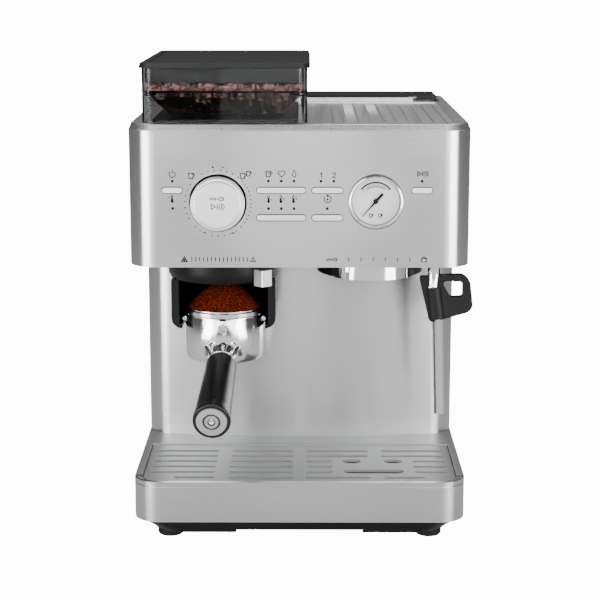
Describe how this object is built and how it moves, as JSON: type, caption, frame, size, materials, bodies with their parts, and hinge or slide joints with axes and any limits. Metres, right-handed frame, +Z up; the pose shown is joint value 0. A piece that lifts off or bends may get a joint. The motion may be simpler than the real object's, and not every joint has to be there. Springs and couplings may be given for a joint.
{
  "type": "espresso machine",
  "caption": "Countertop espresso machine with a built-in grinder, bean hopper, brewing group, steam wand, rear water tank and pull-out drip tray.",
  "frame": {"origin": "centre of the footprint, on the counter under the feet", "axes": "+X to the right as the user faces the machine, the front towards -Y, +Z up"},
  "size_m": [0.3135, 0.4171, 0.4365],
  "materials": {
    "brushed_steel": "brushed",
    "cast_silver": "satin",
    "satin_silver": "satin",
    "chrome": "polished",
    "black_plastic": "fine grain",
    "dark_grey_plastic": "satin",
    "rubber": "matte",
    "clear_plastic": "clear",
    "smoked_plastic": "tinted clear",
    "seal_rubber": "matte",
    "casting": "cast",
    "motor_paint": "satin",
    "burr_steel": "ground",
    "hose": "satin",
    "circuit_board": "satin",
    "dial_white": "satin",
    "dark_lens": "gloss",
    "needle_black": "satin",
    "float_red": "satin",
    "roasted_beans": "satin",
    "ground_coffee": "rough"
  },
  "bodies": {
    "chassis": {"base_pan": "black_plastic", "feet": "rubber", "base_housing": "brushed_steel", "column_shell": "brushed_steel", "head_shell": "brushed_steel", "head_underside": "dark_grey_plastic", "top_frame": "cast_silver", "cup_tray": "brushed_steel", "rear_panel": "dark_grey_plastic", "panel_screws": "brushed_steel", "group_flange": "black_plastic", "grinder_cradle": "black_plastic", "grinder_housing": "casting", "grinder_motor": "motor_paint", "hopper_seat": "black_plastic", "group_ring": "chrome", "group_gasket": "seal_rubber", "shower_screen": "chrome", "boiler": "casting", "water_pump": "motor_paint", "water_lines": "hose", "control_board": "circuit_board", "dial_recess": "dark_grey_plastic", "gauge_case": "chrome", "gauge_face": "dial_white", "gauge_lens": "clear_plastic", "status_lights": "dark_lens", "cord_gland": "rubber"},
    "dial_shaft": {"dial_shaft": "burr_steel"},
    "dial": {"dial_knob": "satin_silver"},
    "power_button": {"power_button": "satin_silver"},
    "drink_button": {"drink_button": "satin_silver"},
    "temperature_button": {"temperature_button": "satin_silver"},
    "shots_button": {"shots_button": "satin_silver"},
    "clean_button": {"clean_button": "satin_silver"},
    "steam_button": {"steam_button": "satin_silver"},
    "needle": {"gauge_needle": "needle_black"},
    "grind_selector": {"grind_ring": "black_plastic", "grind_lever": "satin_silver"},
    "upper_burr": {"upper_burr": "burr_steel"},
    "lower_burr": {"lower_burr": "burr_steel"},
    "hopper": {"hopper_body": "clear_plastic", "hopper_gasket": "rubber", "coffee_beans": "roasted_beans"},
    "hopper_lid": {"hopper_lid": "dark_grey_plastic"},
    "water_tank": {"water_tank": "smoked_plastic"},
    "tank_lid": {"tank_lid": "dark_grey_plastic"},
    "tank_handle": {"tank_handle": "chrome"},
    "drip_tray": {"tray_tub": "dark_grey_plastic", "tray_front": "brushed_steel"},
    "grate": {"tray_grate": "brushed_steel"},
    "float": {"tray_float": "float_red"},
    "filter_holder": {"filter_holder": "chrome", "filter_basket": "chrome", "coffee_grounds": "ground_coffee", "holder_handle": "black_plastic", "handle_cap": "chrome"},
    "wand_yoke": {"wand_yoke": "casting"},
    "steam_wand": {"wand_tube": "chrome", "wand_grip": "rubber"}
  },
  "joints": [
    {"name": "tray_slide", "type": "slide", "parent": "chassis", "child": "drip_tray", "axis": [0, -1, 0], "range_m": [0, 0.14]},
    {"name": "grate_lift", "type": "slide", "parent": "drip_tray", "child": "grate", "axis": [0, 0, 1], "range_m": [0, 0.04]},
    {"name": "float_rise", "type": "slide", "parent": "drip_tray", "child": "float", "axis": [0, 0, 1], "range_m": [0, 0.003]},
    {"name": "hopper_lift", "type": "slide", "parent": "chassis", "child": "hopper", "axis": [0, 0, 1], "range_m": [0, 0.08]},
    {"name": "lid_lift", "type": "slide", "parent": "hopper", "child": "hopper_lid", "axis": [0, 0, 1], "range_m": [0, 0.06]},
    {"name": "dial_push", "type": "slide", "parent": "chassis", "child": "dial_shaft", "axis": [0, 1, 0], "range_m": [0, 0.0015], "stiffness_N_per_m": 900},
    {"name": "dial_turn", "type": "hinge", "parent": "dial_shaft", "child": "dial", "pos_m": [-0.0718, -0.168, 0.3145], "axis": [0, 1, 0], "continuous": true},
    {"name": "power_press", "type": "slide", "parent": "chassis", "child": "power_button", "axis": [0, 1, 0], "range_m": [0, 0.001], "stiffness_N_per_m": 500},
    {"name": "drink_press", "type": "slide", "parent": "chassis", "child": "drink_button", "axis": [0, 1, 0], "range_m": [0, 0.001], "stiffness_N_per_m": 500},
    {"name": "temperature_press", "type": "slide", "parent": "chassis", "child": "temperature_button", "axis": [0, 1, 0], "range_m": [0, 0.001], "stiffness_N_per_m": 500},
    {"name": "shots_press", "type": "slide", "parent": "chassis", "child": "shots_button", "axis": [0, 1, 0], "range_m": [0, 0.001], "stiffness_N_per_m": 500},
    {"name": "clean_press", "type": "slide", "parent": "chassis", "child": "clean_button", "axis": [0, 1, 0], "range_m": [0, 0.001], "stiffness_N_per_m": 500},
    {"name": "steam_press", "type": "slide", "parent": "chassis", "child": "steam_button", "axis": [0, 1, 0], "range_m": [0, 0.001], "stiffness_N_per_m": 500},
    {"name": "needle_turn", "type": "hinge", "parent": "chassis", "child": "needle", "pos_m": [0.0676, -0.168, 0.3158], "axis": [0, 1, 0], "range_deg": [0, 270], "stiffness_Nm_per_rad": 0.0006},
    {"name": "grind_turn", "type": "hinge", "parent": "chassis", "child": "grind_selector", "pos_m": [-0.071, -0.084, 0.257], "axis": [0, 0, 1], "range_deg": [-80, 0]},
    {"name": "upper_burr_turn", "type": "hinge", "parent": "chassis", "child": "upper_burr", "pos_m": [-0.066, -0.04, 0.32], "axis": [0, 0, 1], "range_deg": [-80, 0]},
    {"name": "burr_spin", "type": "hinge", "parent": "chassis", "child": "lower_burr", "pos_m": [-0.066, -0.04, 0.32], "axis": [0, 0, 1], "continuous": true},
    {"name": "holder_slide", "type": "slide", "parent": "chassis", "child": "filter_holder", "axis": [0, -1, 0], "range_m": [0, 0.13]},
    {"name": "wand_swing", "type": "hinge", "parent": "chassis", "child": "wand_yoke", "pos_m": [0.1265, -0.095, 0.264], "axis": [0, -1, 0], "range_deg": [-8, 28]},
    {"name": "wand_tilt", "type": "hinge", "parent": "wand_yoke", "child": "steam_wand", "pos_m": [0.1265, -0.095, 0.264], "axis": [-1, 0, 0], "range_deg": [0, 24]},
    {"name": "tank_lift", "type": "slide", "parent": "chassis", "child": "water_tank", "axis": [0, 0, 1], "range_m": [0, 0.26]},
    {"name": "tank_lid_open", "type": "hinge", "parent": "water_tank", "child": "tank_lid", "pos_m": [0, 0.1653, 0.3863], "axis": [-1, 0, 0], "range_deg": [0, 85]},
    {"name": "tank_handle_swing", "type": "hinge", "parent": "water_tank", "child": "tank_handle", "pos_m": [0, 0.097, 0.386], "axis": [-1, 0, 0], "range_deg": [0, 90]}
  ],
  "couplings": [
    {"joint": "upper_burr_turn", "follows": "grind_turn", "ratio": 1}
  ]
}
